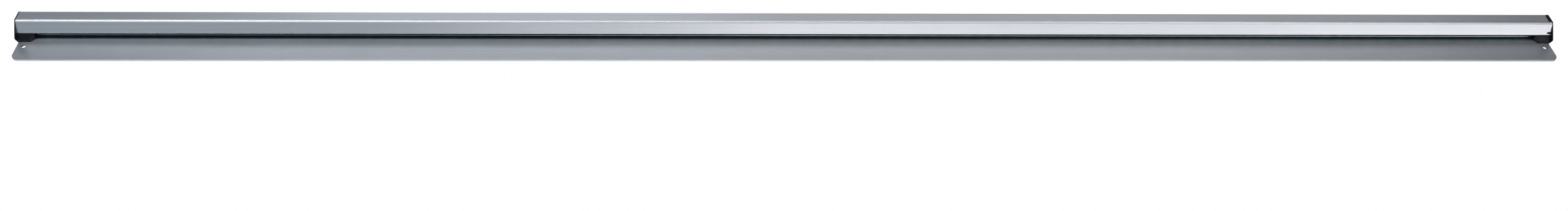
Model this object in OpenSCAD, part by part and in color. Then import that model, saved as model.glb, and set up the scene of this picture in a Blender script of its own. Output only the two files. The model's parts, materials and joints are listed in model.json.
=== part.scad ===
// Wall-mounted order rail: an aluminium extrusion with a hooded channel full
// of loose glass marbles. A ticket pushed up into the slot lifts the marbles
// up the sloping face, and their weight pinches it against the back plate. A
// small rib runs along the plate above the slot.
// X runs along the rail, -Y faces the room and +Z is up. The back face lies on
// y = 0, and the origin is midway between the two screw holes. Millimetres.

/* [Rail] */
// Length of the aluminium extrusion
rail_len = 1219.2; // [610:0.1:1524]
// Thickness of the back plate
plate_t = 1.4; // [1.2:0.1:2]
// Thickness of the hood's wall
wall_t = 1.3; // [1.1:0.1:1.5]
// Top of the rail above the screw holes
rise = 29.5; // [29:0.5:34]
// Bottom edge of the flange below the screw holes
drop = 15.1; // [9:0.1:25]
// Radius of the flange's two lower corners
corner_r = 6; // [1:0.5:8]

/* [Hood] */
// Distance from the plate to the outside of the hood's front face
hood_out = 15.35; // [15:0.05:16]
// Height of the curved roof above the hood's front top edge
roof_rise = 6.9; // [6:0.1:8]
// Height of the upright front face
front_h = 9.8; // [9:0.1:10.5]
// Angle of the sloping lower face from the horizontal
slope = 32; // [30:1:34]
// Clear width of the ticket slot between the plate and the lip
slot_gap = 6.2; // [5:0.1:6.2]
// Outside radius of the bend between the front and the sloping face
bend_r = 3.2; // [1.5:0.1:3.3]
// Height of the small rib on the plate just above the slot, over the screw holes
rib_z = 13.15; // [12.8:0.05:13.3]
// Radius of the rib
rib_r = 0.45; // [0.3:0.05:0.5]

/* [Screw holes] */
// Diameter of the screw holes
hole_d = 3.5; // [3:0.1:5]
// Distance of each hole from its end of the rail
hole_inset = 5.2; // [4:0.1:20]

/* [Marbles] */
// Diameter of one marble
marble_d = 12.6; // [12.4:0.1:12.6]
// How far a marble can roll up the slope
marble_travel = 1.4; // [0.5:0.1:1.4]
// Marbles that share a node
marbles_per_node = 2; // [2:1:5]

/* [End caps] */
// Thickness of the end plate outside the rail
cap_t = 0.8; // [0.6:0.1:2]
// How far the end plate stands proud of the hood
cap_lap = 0.2; // [0.2:0.1:0.8]
// Length of the plug inside the hood
plug_len = 11.6; // [9:0.1:15]
// Length of the foot's lower edge, which closes the slot
foot_len = 8.8; // [6:0.1:8.8]
// Lower edge of the foot above the screw holes
foot_z = 4.7; // [4:0.1:6]
// Width of the foot's lower edge
foot_w = 2.2; // [1.5:0.1:4]
// Play between the plug and the hood
play = 0.1; // [0.05:0.05:0.2]

/* [Right-hand snap notches] */
// Length of the notch at the top of the front face
front_notch_len = 2.3; // [1.5:0.1:4]
// Lower end of the front notch below the hood's front top edge
front_notch_h = 8.4; // [3:0.1:8.4]
// Length of the notch in the sloping face
slope_notch_len = 3.4; // [2:0.1:5]
// Width of the notch in the sloping face
slope_notch_w = 1.7; // [1:0.1:2]
// Metal left between the slope notch and the lip
rim_w = 1.05; // [0.9:0.05:1.5]

/* [Hidden] */
$fn = 64;
arc_step = 5;          // degrees between the points of a rounded corner
roof_steps = 12;       // chords in the roof's curve
rib_steps = 12;        // chords in the rib's curve
edge_r = 0.3;          // small rounding on the extrusion's free edges
top_r = 1;             // rounding of the hood's front top edge
clearance = 0.08;      // gap between a resting marble and what it lies on
over = 1;              // how far a cutter runs past what it cuts
through = 0.05;        // how far a notch's cutter breaks through the wall
foot_lip_gap = 0.15;   // gap between the foot and the lip

// Profile sizes, seen along the rail: y is negative towards the room
front_y = -(plate_t + hood_out);
front_top_z = rise - roof_rise;
bend_z = front_top_z - front_h;
roof_r = (pow(front_y, 2) + pow(roof_rise, 2)) / (2 * roof_rise);
roof_c = [0, rise - roof_r];
downhill = [cos(slope), -sin(slope)];     // along the sloping face to the lip
face_out = [-sin(slope), -cos(slope)];    // out of the sloping face
bend_at = [front_y, bend_z];
inner_bend = bend_at + wall_t * [1, (1 - sin(slope)) / cos(slope)];
inner_top_z = roof_c[1] + sqrt(pow(roof_r - wall_t, 2) - pow(front_y + wall_t, 2));
lip_run = (hood_out - slot_gap - wall_t / 2 * (1 + sin(slope))) / cos(slope) + wall_t / 2;
lip_at = bend_at + lip_run * downhill;
plate_top_z = roof_c[1] + sqrt(pow(roof_r - wall_t, 2) - pow(plate_t, 2));
hole_x = rail_len / 2 - hole_inset;

// Marbles: a row that fills the channel between the two plugs
marble_r = marble_d / 2;
min_pitch = marble_d + 0.2;
channel_len = rail_len - 2 * plug_len;
marble_count = floor(channel_len / min_pitch);
marble_pitch = channel_len / marble_count;
seat_y = -(plate_t + marble_r + clearance);
seat_z = inner_bend[1]
    + (marble_r + clearance - (seat_y - inner_bend[0]) * sin(slope)) / cos(slope);
group_count = ceil(marble_count / marbles_per_node);

function two_digits(i) = str(i < 10 ? "0" : "", i);
function group_name(i) = str("marbles_", two_digits(i));

function unit(v) = v / norm(v);
function bearing(v) = atan2(v[1], v[0]);
function short_turn(a) = a > 180 ? a - 360 : (a < -180 ? a + 360 : a);

// Points of an arc about c, from bearing a by the turn given
function arc(c, r, a, turn, steps) =
    [for (i = [0:steps]) c + r * [cos(a + turn * i / steps), sin(a + turn * i / steps)]];

// Points that round the corner at c, between its neighbours p and n
function corner(p, c, n, r) =
    let (
        to_p = unit(p - c),
        to_n = unit(n - c),
        half = acos(to_p * to_n) / 2,
        middle = c + unit(to_p + to_n) * r / sin(half),
        start = bearing(c + to_p * r / tan(half) - middle),
        turn = short_turn(bearing(c + to_n * r / tan(half) - middle) - start)
    )
    arc(middle, r, start, turn, max(2, ceil(abs(turn) / arc_step)));

// An outline from [y, z, radius] corners, where a radius of 0 stays sharp
function rounded(points) =
    let (
        count = len(points),
        at = [for (p = points) [p[0], p[1]]]
    )
    [
        for (i = [0:count - 1])
            each points[i][2] == 0
                ? [at[i]]
                : corner(at[(i + count - 1) % count], at[i], at[(i + 1) % count], points[i][2])
    ];

// Points along the roof's curve, grow outside it, without its two ends
function roof(grow, from_y, to_y) =
    let (
        r = roof_r + grow,
        a = acos(from_y / r),
        turn = acos(to_y / r) - a,
        all = arc(roof_c, r, a, turn, roof_steps)
    )
    [for (i = [1:roof_steps - 1]) [all[i][0], all[i][1], 0]];

// Points round the plate's rib from its top, grow outside it and off the plate
function rib(grow) =
    let (end = asin(grow / (rib_r + grow)))
    [
        for (p = arc([-plate_t, rib_z], rib_r + grow, 90 + end, 180 - 2 * end, rib_steps))
            [p[0], p[1], 0]
    ];

function reversed(v) = [for (i = [len(v) - 1:-1:0]) v[i]];

// The extrusion's cross-section
rail_profile = rounded(concat(
    [[0, -drop, edge_r], [0, rise, edge_r]],
    roof(0, 0, front_y),
    [
        [front_y, front_top_z, top_r],
        [bend_at[0], bend_at[1], bend_r],
        concat(lip_at, wall_t * 0.48),
        concat(lip_at - wall_t * face_out, wall_t * 0.48),
        [inner_bend[0], inner_bend[1], bend_r - wall_t],
        [front_y + wall_t, inner_top_z, edge_r]
    ],
    roof(-wall_t, front_y + wall_t, -plate_t),
    [[-plate_t, plate_top_z, top_r]],
    rib(0),
    [[-plate_t, -drop, edge_r]]
));

// Outline of a cap's end plate, which laps the hood by cap_lap
cap_back_z = foot_z + 0.7;     // its lower edge at the wall
cap_low_z = foot_z - 2.2;      // its lowest point, at the lower front corner
cap_top_r = 2.6;               // its front top corner
cap_bend_r = 2;                // its bend below the front face
cap_low_r = 2.5;               // its lower front corner
cap_slope = 46;                // its lower front edge, from the horizontal
cap_front_y = front_y - cap_lap;
cap_bend_z = bend_z + 0.7;
cap_front_top_z = roof_c[1] + sqrt(pow(roof_r + cap_lap, 2) - pow(cap_front_y, 2));
cap_low_y = cap_front_y + (cap_bend_z - cap_low_z) / tan(cap_slope);
cap_outline = rounded(concat(
    [[0, cap_back_z, edge_r], [0, rise + cap_lap, edge_r]],
    roof(cap_lap, 0, cap_front_y),
    [
        [cap_front_y, cap_front_top_z, cap_top_r],
        [cap_front_y, cap_bend_z, cap_bend_r],
        [cap_low_y, cap_low_z, cap_low_r]
    ]
));

// Outline of the plug, which fills the channel, and of the foot below it
plug_bend = inner_bend + play * [1, (1 - sin(slope)) / cos(slope)];
foot_front_y = -(plate_t + slot_gap - foot_lip_gap);
plug_lip_z = plug_bend[1] - (foot_front_y - plug_bend[0]) * tan(slope);
plug_top_z = roof_c[1] + sqrt(pow(roof_r - wall_t - play, 2) - pow(front_y + wall_t + play, 2));
plug_plate_z = roof_c[1] + sqrt(pow(roof_r - wall_t - play, 2) - pow(plate_t + play, 2));
plug_outline = rounded(concat(
    [[-plate_t - play, foot_z, 0]],
    reversed(rib(play)),
    [[-plate_t - play, plug_plate_z, top_r]],
    roof(-wall_t - play, -plate_t - play, front_y + wall_t + play),
    [
        [front_y + wall_t + play, plug_top_z, edge_r],
        [plug_bend[0], plug_bend[1], bend_r - wall_t],
        [foot_front_y, plug_lip_z, 0],
        [foot_front_y, lip_at[1], 0],
        [-plate_t - foot_w, foot_z, edge_r]
    ]
));

// Lays a profile drawn in y and z along the rail, from x0 for the length given
module along_rail(x0, length) {
    translate([x0, 0, 0]) rotate([90, 0, 90]) linear_extrude(length) children();
}

// The back plate's outline seen from the front, with its lower corners rounded
module plate_outline() {
    half = rail_len / 2;
    difference() {
        translate([-half, -drop]) square([rail_len, drop + rise]);
        for (side = [-1, 1]) {
            difference() {
                translate([side * half - corner_r, -drop - corner_r]) square(2 * corner_r);
                translate([side * (half - corner_r), corner_r - drop]) circle(corner_r);
                translate([side * (half - 2 * corner_r) - corner_r, -drop - corner_r])
                    square([2 * corner_r, 3 * corner_r]);
            }
        }
    }
}

// Space of the two snap notches at the rail's right end, less a gap all round
module snap_notches(gap) {
    end_x = rail_len / 2;
    top_z = front_top_z - front_notch_h;
    along_rail(end_x - front_notch_len + gap, front_notch_len - gap)
        translate([front_y - over, top_z + gap])
            square([over + wall_t + through, front_notch_h + 2 * over]);
    along_rail(end_x - slope_notch_len + gap, slope_notch_len - gap)
        translate(lip_at - rim_w * downhill)
            rotate(180 - slope)
                translate([gap, -over])
                    square([slope_notch_w - 2 * gap, over + wall_t + through]);
}

module rail() {
    color("silver")
    difference() {
        along_rail(-rail_len / 2, rail_len) polygon(rail_profile);
        difference() {
            along_rail(-rail_len / 2 - over, rail_len + 2 * over)
                translate([-plate_t - over, -drop - over]) square([plate_t + 2 * over, drop]);
            translate([0, over, 0]) rotate([90, 0, 0])
                linear_extrude(plate_t + 4 * over) plate_outline();
        }
        for (side = [-1, 1]) {
            translate([side * hole_x, over, 0]) rotate([90, 0, 0])
                cylinder(h = plate_t + 2 * over, d = hole_d);
        }
        snap_notches(0);
    }
}

// The plug and its foot at the left end. The foot's inner end slants back
// below the lip.
module plug() {
    end_x = -rail_len / 2;
    cut_top_z = lip_at[1] + 1;
    difference() {
        along_rail(end_x, plug_len) polygon(plug_outline);
        translate([0, over, 0]) rotate([90, 0, 0])
            linear_extrude(-front_y + 2 * over)
                polygon([
                    [end_x + foot_len, foot_z],
                    [end_x + foot_len, foot_z - over],
                    [end_x + plug_len + over, foot_z - over],
                    [end_x + plug_len + over, cut_top_z],
                    [end_x + plug_len, cut_top_z]
                ]);
    }
}

module cap_body() {
    along_rail(-rail_len / 2 - cap_t, cap_t) polygon(cap_outline);
    plug();
}

module left_end_cap() {
    color("dimgray") cap_body();
}

// The right-hand cap also has two lugs that snap into the rail's notches
module right_end_cap() {
    color("dimgray") {
        mirror([1, 0, 0]) cap_body();
        intersection() {
            along_rail(0, rail_len / 2) polygon(rail_profile);
            snap_notches(play);
        }
    }
}

// Marbles of group number i, counted from the left end
module marbles(i) {
    first = (i - 1) * marbles_per_node;
    last = min(first + marbles_per_node, marble_count) - 1;
    color("lightcyan")
    for (k = [first:last]) {
        translate([-channel_len / 2 + (k + 0.5) * marble_pitch, seat_y, seat_z])
            sphere(r = marble_r);
    }
}

rail();
left_end_cap();
right_end_cap();
for (i = [1:group_count]) {
    marbles(i);
}
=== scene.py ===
"""Looks of the wall-mounted order rail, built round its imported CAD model.

Metres, in the CAD's frame: +X along the rail, -Y towards the room, +Z up.
"""

import json
import math

import bmesh
import bpy
from mathutils import Matrix, Vector

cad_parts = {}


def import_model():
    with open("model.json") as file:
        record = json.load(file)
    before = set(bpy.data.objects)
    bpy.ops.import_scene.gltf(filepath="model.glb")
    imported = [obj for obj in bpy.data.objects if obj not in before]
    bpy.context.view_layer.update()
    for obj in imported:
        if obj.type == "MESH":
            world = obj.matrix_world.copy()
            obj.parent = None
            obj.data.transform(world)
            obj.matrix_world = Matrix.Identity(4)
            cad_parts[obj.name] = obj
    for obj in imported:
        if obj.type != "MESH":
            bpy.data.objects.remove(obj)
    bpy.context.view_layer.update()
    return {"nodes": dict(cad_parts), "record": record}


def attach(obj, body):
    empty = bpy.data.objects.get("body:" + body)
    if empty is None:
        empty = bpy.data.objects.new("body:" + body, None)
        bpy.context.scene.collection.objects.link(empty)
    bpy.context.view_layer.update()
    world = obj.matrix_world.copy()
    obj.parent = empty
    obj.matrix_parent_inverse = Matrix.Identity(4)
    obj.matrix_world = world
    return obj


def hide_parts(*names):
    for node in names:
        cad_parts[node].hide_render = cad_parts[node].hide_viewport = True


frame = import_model()
nodes = frame["nodes"]

# Camera: it looks up at the rail from in front and below
TILT = math.radians(46.0)      # line of sight from the wall's downward direction
YAW = math.radians(3.09)
ROLL = math.radians(-0.09)
AIM = Vector((-0.0212, -0.0014, -0.0647))
DISTANCE = 1.0137
LENS = 30.667                  # mm, for a 36 mm sensor
SENSOR = 36.0

# Tints of the lights, and how far out of the rail's line they stand
COOL = (0.97, 1.0, 1.04)
PLAIN = (1.0, 1.0, 0.99)
LILAC = (1.02, 0.965, 0.955)
LIGHT_DISTANCE = 1.3

# Lights: name, direction in degrees, place along X, length, width, power in watts, tint
SOFTBOXES = (
    ("top_far_left", -65, -1.15, 0.75, 0.3, 0.35, COOL),
    ("top_left", -65, -0.4, 0.75, 0.3, 1.2, COOL),
    ("top_right", -65, 0.35, 0.75, 0.3, 0.5, PLAIN),
    ("top_far_right", -65, 1.1, 0.75, 0.3, 0.35, PLAIN),
    ("high_fill", -42, 0.12, 2.25, 0.3, 1.15, PLAIN),
    ("shoulder", -15, 0.2, 1.2, 0.2, 0.7, PLAIN),
    ("key_left", 10, -0.92, 0.9, 0.12, 4.3, COOL),
    ("key_middle", 8, -0.25, 0.45, 0.12, 1.3, COOL),
    ("key_right", 8, 0.42, 0.9, 0.12, 1.5, PLAIN),
    ("far_right", 22, 1.05, 0.6, 0.1, 1.3, PLAIN),
    ("card_end", 72, -0.3, 0.4, 0.3, 0.4, LILAC),
    ("card_left", 72, 0.15, 0.5, 0.3, 1.2, LILAC),
    ("card_right", 72, 1.1, 1.4, 0.3, 3.4, LILAC),
)

# Tones of the surroundings: behind the rail and there to the right, in front above, in front
# below and there to the left
WORLD_BACK = (0.90, 0.94, 1.0, 1)
WORLD_BACK_RIGHT = (0.26, 0.27, 0.28, 1)
WORLD_HIGH = (0.05, 0.055, 0.06, 1)
WORLD_LOW = (0.27, 0.285, 0.305, 1)
WORLD_LOW_LEFT = (0.19, 0.225, 0.25, 1)

# Screw holes, from the frame's mount
HOLES = next(m for m in frame["record"]["mounts"] if m["name"] == "wall_screws")["dims"]
HOLE_X = HOLES["spacing_x_mm"] / 2000
HOLE_R = HOLES["hole_r_mm"] / 1000
BORE_MARGIN = 0.00008          # how far outside its radius a hole's wall still counts as one

# Painted shade, tinted teal, on the plate's face inside the hood: it fades in over these
# heights, and lies between the rib in front of it and the plate's back
SHADE_FROM, SHADE_FULL = 0.0080, 0.0106
RIB_SIDE = (-0.0016, -0.00145)
BACK_SIDE = (-0.0012, -0.0010)

# End caps: points within SAME_POINT are joined, and faces within FLAT_ANGLE; then edges
# sharper than SHARP_ANGLE are rounded by EDGE_ROUND
SAME_POINT = 1e-6
FLAT_ANGLE = math.radians(1)
SHARP_ANGLE = math.radians(28)
EDGE_ROUND = 0.0002

# Floor: half its side, and its height
FLOOR_HALF = 40.0
FLOOR_Z = -1.6


# ---------------------------------------------------------------- materials
def new_material(name):
    """An empty node material: its tree, and its shader linked to the output."""
    mat = bpy.data.materials.new(name)
    mat.use_nodes = True
    tree = mat.node_tree
    tree.nodes.clear()
    out = tree.nodes.new("ShaderNodeOutputMaterial")
    shader = tree.nodes.new("ShaderNodeBsdfPrincipled")
    tree.links.new(shader.outputs["BSDF"], out.inputs["Surface"])
    return mat, tree, shader


def add(tree, kind, **inputs):
    """A node with some of its sockets set: each value is a number, a colour or another socket."""
    node = tree.nodes.new(kind)
    for key, value in inputs.items():
        put(tree, node.inputs[key.replace("_", " ")], value)
    return node


def put(tree, socket, value):
    if isinstance(value, bpy.types.NodeSocket):
        tree.links.new(value, socket)
    else:
        socket.default_value = value


def stretched(tree, scale):
    """Object coordinates scaled by (x, y, z), so that a pattern can run along the rail."""
    place = tree.nodes.new("ShaderNodeTexCoord")
    return add(tree, "ShaderNodeMapping", Vector=place.outputs["Object"], Scale=scale).outputs[0]


def noise(tree, scale, detail=2.0):
    """Noise in object coordinates: the smaller an axis's scale, the longer its grain there."""
    node = add(tree, "ShaderNodeTexNoise", Vector=stretched(tree, scale), Scale=1.0, Detail=detail)
    return node.outputs["Fac"]


def remap(tree, value, low, high, from_low=0.3, from_high=0.7):
    """value taken from the range that noise mostly fills, or another one, to low..high."""
    node = add(tree, "ShaderNodeMapRange", Value=value)
    node.inputs["From Min"].default_value = from_low
    node.inputs["From Max"].default_value = from_high
    node.inputs["To Min"].default_value = low
    node.inputs["To Max"].default_value = high
    return node.outputs["Result"]


def blend_colour(tree, factor, first, second):
    """first where factor is 0, second where it is 1."""
    node = tree.nodes.new("ShaderNodeMix")
    node.data_type = "RGBA"
    put(tree, node.inputs[0], factor)
    put(tree, node.inputs[6], first)
    put(tree, node.inputs[7], second)
    return node.outputs[2]


def product(tree, first, second):
    node = tree.nodes.new("ShaderNodeMath")
    node.operation = "MULTIPLY"
    put(tree, node.inputs[0], first)
    put(tree, node.inputs[1], second)
    return node.outputs[0]


def place_parts(tree):
    """The X, Y and Z of a place on the piece, in the CAD's frame."""
    place = tree.nodes.new("ShaderNodeTexCoord")
    return add(tree, "ShaderNodeSeparateXYZ", Vector=place.outputs["Object"]).outputs


def bump(tree, height, distance, strength):
    node = add(tree, "ShaderNodeBump", Height=height, Strength=strength, Distance=distance)
    return node.outputs["Normal"]


def painted_hole_shade(tree):
    """1 on the punched walls of the two screw holes, where shade is painted, and 0 elsewhere."""
    parts = place_parts(tree)
    from_middle = tree.nodes.new("ShaderNodeMath")
    from_middle.operation = "ABSOLUTE"
    put(tree, from_middle.inputs[0], parts["X"])
    flat = add(tree, "ShaderNodeCombineXYZ", X=from_middle.outputs[0], Z=parts["Z"])
    reach = add(tree, "ShaderNodeVectorMath")
    reach.operation = "DISTANCE"
    put(tree, reach.inputs[0], flat.outputs[0])
    reach.inputs[1].default_value = (HOLE_X, 0, 0)
    return remap(tree, reach.outputs["Value"], 1, 0, HOLE_R, HOLE_R + BORE_MARGIN)


def painted_channel_shade(tree):
    """1 on the plate's face inside the hood, where shade is painted, and 0 elsewhere."""
    parts = place_parts(tree)
    over_slot = remap(tree, parts["Z"], 0, 1, SHADE_FROM, SHADE_FULL)
    off_rib = remap(tree, parts["Y"], 0, 1, *RIB_SIDE)
    off_back = remap(tree, parts["Y"], 1, 0, *BACK_SIDE)
    return product(tree, over_slot, product(tree, off_rib, off_back))


def anodised_aluminium():
    """Satin clear-anodised extrusion: draw lines along X, slight bands of tone, rubbed marks."""
    mat, tree, shader = new_material("satin_aluminium")
    fine = noise(tree, (3, 5200, 5200), detail=1.0)
    lines = noise(tree, (1.5, 1300, 1300))
    bands = noise(tree, (0.7, 240, 240), detail=1.0)
    blotch = noise(tree, (9, 60, 60), detail=3.0)
    dull, bright = (0.78, 0.805, 0.85, 1), (0.86, 0.885, 0.925, 1)
    tone = blend_colour(tree, remap(tree, lines, 0, 1), dull, bright)
    tone = blend_colour(tree, remap(tree, bands, 0, 0.3), tone, (0.78, 0.81, 0.86, 1))
    marks = remap(tree, noise(tree, (55, 2300, 2300)), 0, 1, 0.63, 0.70)
    scuffs = remap(tree, noise(tree, (22, 45, 45)), 0, 0.6, 0.52, 0.60)
    worn = product(tree, marks, scuffs)
    tone = blend_colour(tree, worn, tone, (0.95, 0.955, 0.97, 1))
    # Painted shade: the plate's face inside the hood darkened to a teal grey
    tone = blend_colour(tree, painted_channel_shade(tree), tone, (0.17, 0.27, 0.30, 1))
    # Painted shade: the walls of the screw holes darkened to grey
    tone = blend_colour(tree, painted_hole_shade(tree), tone, (0.25, 0.26, 0.28, 1))
    put(tree, shader.inputs["Base Color"], tone)
    shader.inputs["Metallic"].default_value = 0.93
    rough = tree.nodes.new("ShaderNodeMath")
    put(tree, rough.inputs[0], remap(tree, blotch, 0.355, 0.385))
    put(tree, rough.inputs[1], remap(tree, fine, -0.02, 0.03))
    put(tree, shader.inputs["Roughness"], rough.outputs[0])
    shader.inputs["Anisotropic"].default_value = 0.7
    tangent = tree.nodes.new("ShaderNodeTangent")
    tangent.direction_type = "RADIAL"
    tangent.axis = "X"
    put(tree, shader.inputs["Tangent"], tangent.outputs[0])
    put(tree, shader.inputs["Normal"], bump(tree, fine, 0.00001, 0.25))
    return mat


def black_plastic():
    """Semi-matt moulded plastic with a fine spark-eroded grain."""
    mat, tree, shader = new_material("grained_plastic")
    grain = noise(tree, (2600, 2600, 2600), detail=3.0)
    cloud = noise(tree, (180, 180, 180))
    dark, pale = (0.006, 0.006, 0.008, 1), (0.010, 0.010, 0.013, 1)
    put(tree, shader.inputs["Base Color"], blend_colour(tree, remap(tree, cloud, 0, 1), dark, pale))
    put(tree, shader.inputs["Roughness"], remap(tree, grain, 0.38, 0.52))
    shader.inputs["IOR"].default_value = 1.49
    shader.inputs["Specular IOR Level"].default_value = 0.3
    put(tree, shader.inputs["Normal"], bump(tree, grain, 0.00004, 0.35))
    return mat


def marble_glass():
    """Dark sea-green glass, only partly clear."""
    mat, tree, shader = new_material("green_glass")
    swirl = noise(tree, (120, 120, 120))
    dark, pale = (0.004, 0.09, 0.12, 1), (0.01, 0.14, 0.18, 1)
    put(tree, shader.inputs["Base Color"], blend_colour(tree, remap(tree, swirl, 0, 1), dark, pale))
    put(tree, shader.inputs["Roughness"], remap(tree, swirl, 0.02, 0.06))
    shader.inputs["IOR"].default_value = 1.52
    shader.inputs["Transmission Weight"].default_value = 0.6
    return mat


FINISHES = {
    "anodised_aluminium": anodised_aluminium(),
    "black_plastic": black_plastic(),
    "marble_glass": marble_glass(),
}
for node in nodes.values():
    for slot in node.material_slots:
        slot.material = FINISHES[slot.material.name.split(".")[0]]


# ---------------------------------------------------------------- end caps
def moulding(name, node):
    """An end cap as it leaves the mould: the CAD node's shape with its edges rounded."""
    shape = bmesh.new()
    shape.from_mesh(nodes[node].data)
    bmesh.ops.remove_doubles(shape, verts=shape.verts, dist=SAME_POINT)
    bmesh.ops.dissolve_limit(
        shape, angle_limit=FLAT_ANGLE, verts=shape.verts, edges=shape.edges
    )
    sharp = [e for e in shape.edges if e.calc_face_angle(0) > SHARP_ANGLE]
    bmesh.ops.bevel(
        shape,
        geom=sharp,
        offset=EDGE_ROUND,
        segments=3,
        profile=0.5,
        affect="EDGES",
        clamp_overlap=False,
    )
    for face in shape.faces:
        face.smooth = True
    for edge in shape.edges:
        edge.smooth = edge.calc_face_angle(0) < SHARP_ANGLE
    mesh = bpy.data.meshes.new(name)
    shape.to_mesh(mesh)
    shape.free()
    mesh.materials.append(FINISHES["black_plastic"])
    piece = bpy.data.objects.new(name, mesh)
    bpy.context.scene.collection.objects.link(piece)
    keep_flats = piece.modifiers.new("keep_flats", "WEIGHTED_NORMAL")
    keep_flats.keep_sharp = True
    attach(piece, "rail")
    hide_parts(node)


moulding("left_cap_moulding", "left_end_cap")
moulding("right_cap_moulding", "right_end_cap")


# ---------------------------------------------------------------- stage
def floor():
    """A pale floor well below the rail. It glows a little, and the metal doesn't see it."""
    corners = [(x * FLOOR_HALF, y * FLOOR_HALF, 0) for x, y in ((-1, -1), (1, -1), (1, 1), (-1, 1))]
    mesh = bpy.data.meshes.new("floor")
    mesh.from_pydata(corners, [], [(0, 1, 2, 3)])
    made = bpy.data.objects.new("floor", mesh)
    bpy.context.scene.collection.objects.link(made)
    made.location.z = FLOOR_Z
    mat, tree, shader = new_material("pale_floor")
    shader.inputs["Base Color"].default_value = (0.80, 0.80, 0.80, 1)
    shader.inputs["Roughness"].default_value = 0.9
    shader.inputs["Emission Color"].default_value = (1, 1, 1, 1)
    shader.inputs["Emission Strength"].default_value = 0.6
    mesh.materials.append(mat)
    made.visible_glossy = made.visible_diffuse = made.visible_transmission = False


def softbox(name, angle, x, length, width, power, tint):
    """A rectangular light beside the rail, level with x along it.

    angle is its direction from the rail in degrees, from straight out of the wall (0)
    downwards (90). It faces the rail's middle half way.
    """
    data = bpy.data.lights.new(name, "AREA")
    data.shape = "RECTANGLE"
    data.size, data.size_y = length, width
    data.energy = power
    data.color = tint
    lamp = bpy.data.objects.new(name, data)
    bpy.context.scene.collection.objects.link(lamp)
    turn = math.radians(angle)
    out = Vector((0, -math.cos(turn), -math.sin(turn))) * LIGHT_DISTANCE
    back = (out + Vector((x / 2, 0, 0))).normalized()
    side = Vector((1, 0, 0))
    side = (side - back * side.dot(back)).normalized()
    facing = Matrix((side, back.cross(side), back)).transposed()
    lamp.matrix_world = Matrix.Translation(out + Vector((x, 0, 0))) @ facing.to_4x4()
    lamp.visible_camera = False


def world():
    """White where the camera sees it, and for the metal a bright back and a dim front."""
    made = bpy.data.worlds.new("studio")
    bpy.context.scene.world = made
    made.use_nodes = True
    tree = made.node_tree
    tree.nodes.clear()
    out = tree.nodes.new("ShaderNodeOutputWorld")
    seen = add(tree, "ShaderNodeBackground", Color=(1, 1, 1, 1), Strength=1.0)
    place = tree.nodes.new("ShaderNodeTexCoord")
    parts = add(tree, "ShaderNodeSeparateXYZ", Vector=place.outputs["Generated"])
    from_left = remap(tree, parts.outputs["X"], 0, 1, -0.5, 0.0)
    to_right = remap(tree, parts.outputs["X"], 0, 1, 0.3, 0.55)
    upwards = remap(tree, parts.outputs["Z"], 0, 1, -0.1, 0.1)
    behind = remap(tree, parts.outputs["Y"], 0, 1, 0.3, 0.5)
    low = blend_colour(tree, from_left, WORLD_LOW_LEFT, WORLD_LOW)
    front = blend_colour(tree, upwards, low, WORLD_HIGH)
    back = blend_colour(tree, to_right, WORLD_BACK, WORLD_BACK_RIGHT)
    tone = blend_colour(tree, behind, front, back)
    lit = add(tree, "ShaderNodeBackground", Color=tone, Strength=1.0)
    path = tree.nodes.new("ShaderNodeLightPath")
    mix = add(tree, "ShaderNodeMixShader")
    put(tree, mix.inputs[0], path.outputs["Is Camera Ray"])
    put(tree, mix.inputs[1], lit.outputs[0])
    put(tree, mix.inputs[2], seen.outputs[0])
    tree.links.new(mix.outputs[0], out.inputs["Surface"])


def camera():
    """Turned by YAW towards one end, then by ROLL about its line of sight."""
    data = bpy.data.cameras.new("camera")
    data.sensor_width = SENSOR
    data.lens = LENS
    data.clip_start, data.clip_end = 0.01, 100
    made = bpy.data.objects.new("camera", data)
    bpy.context.scene.collection.objects.link(made)
    along = Vector((1, 0, 0))
    down = Vector((0, math.cos(TILT), -math.sin(TILT)))
    near = Vector((0, -math.sin(TILT), -math.cos(TILT)))
    back = near * math.cos(YAW) - along * math.sin(YAW)
    right = along * math.cos(YAW) + near * math.sin(YAW)
    right, down = (
        right * math.cos(ROLL) - down * math.sin(ROLL),
        right * math.sin(ROLL) + down * math.cos(ROLL),
    )
    turn = Matrix((right, -down, back)).transposed()
    made.matrix_world = Matrix.Translation(AIM + back * DISTANCE) @ turn.to_4x4()
    bpy.context.scene.camera = made


floor()
world()
camera()
for box in SOFTBOXES:
    softbox(*box)
bpy.context.scene.view_settings.view_transform = "Standard"
